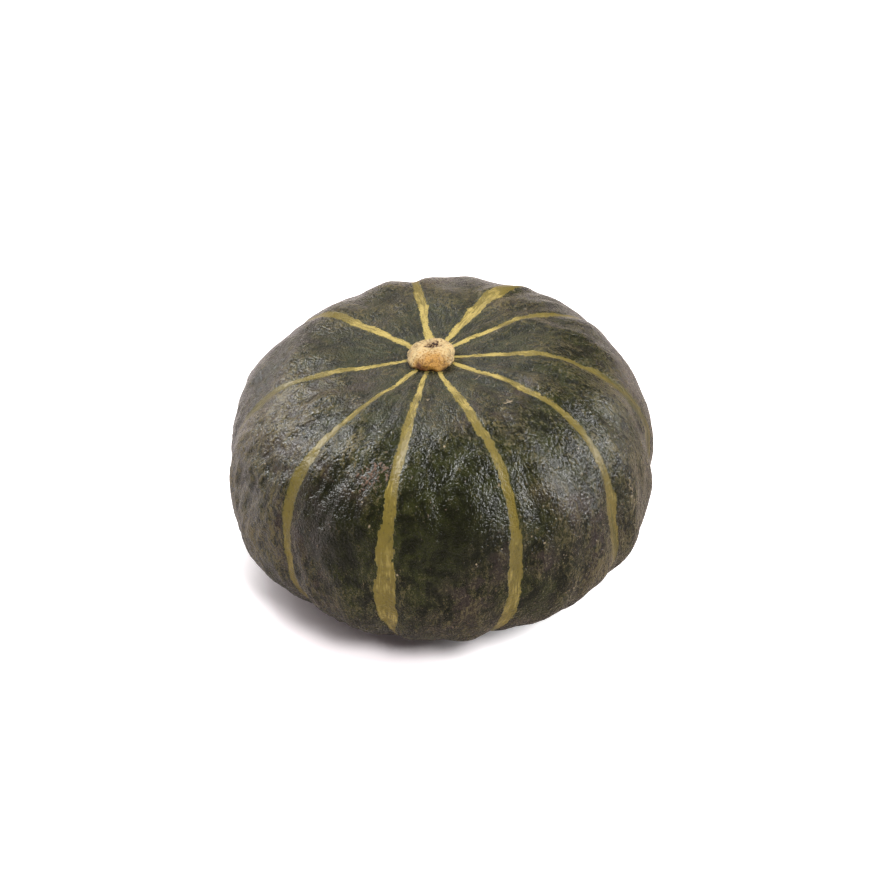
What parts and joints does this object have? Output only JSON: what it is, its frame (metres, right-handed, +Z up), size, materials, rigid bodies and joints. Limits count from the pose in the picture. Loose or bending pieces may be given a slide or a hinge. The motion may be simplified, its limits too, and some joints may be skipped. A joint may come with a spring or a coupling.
{
  "type": "kabocha squash",
  "caption": "Whole green kabocha squash, squat and ribbed, with thin yellow stripes and a short corky stem stub, resting on a small flat spot.",
  "frame": {"origin": "on the surface that the squash rests on, under the middle of its bounding box", "axes": "+Z up, from the flat spot towards the stem; the stem end leans a few degrees towards -X; -Y is the side with the two clearest stripes"},
  "size_m": [0.1802, 0.1778, 0.1177],
  "materials": {
    "rind": "dark green waxy rind with a soft sheen, fine pale flecks and olive-yellow stripes in the furrows",
    "cork": "dry, dull, cream to tan cork with fine cracks"
  },
  "bodies": {
    "root": {"fruit": "rind", "stem": "cork"}
  },
  "joints": []
}
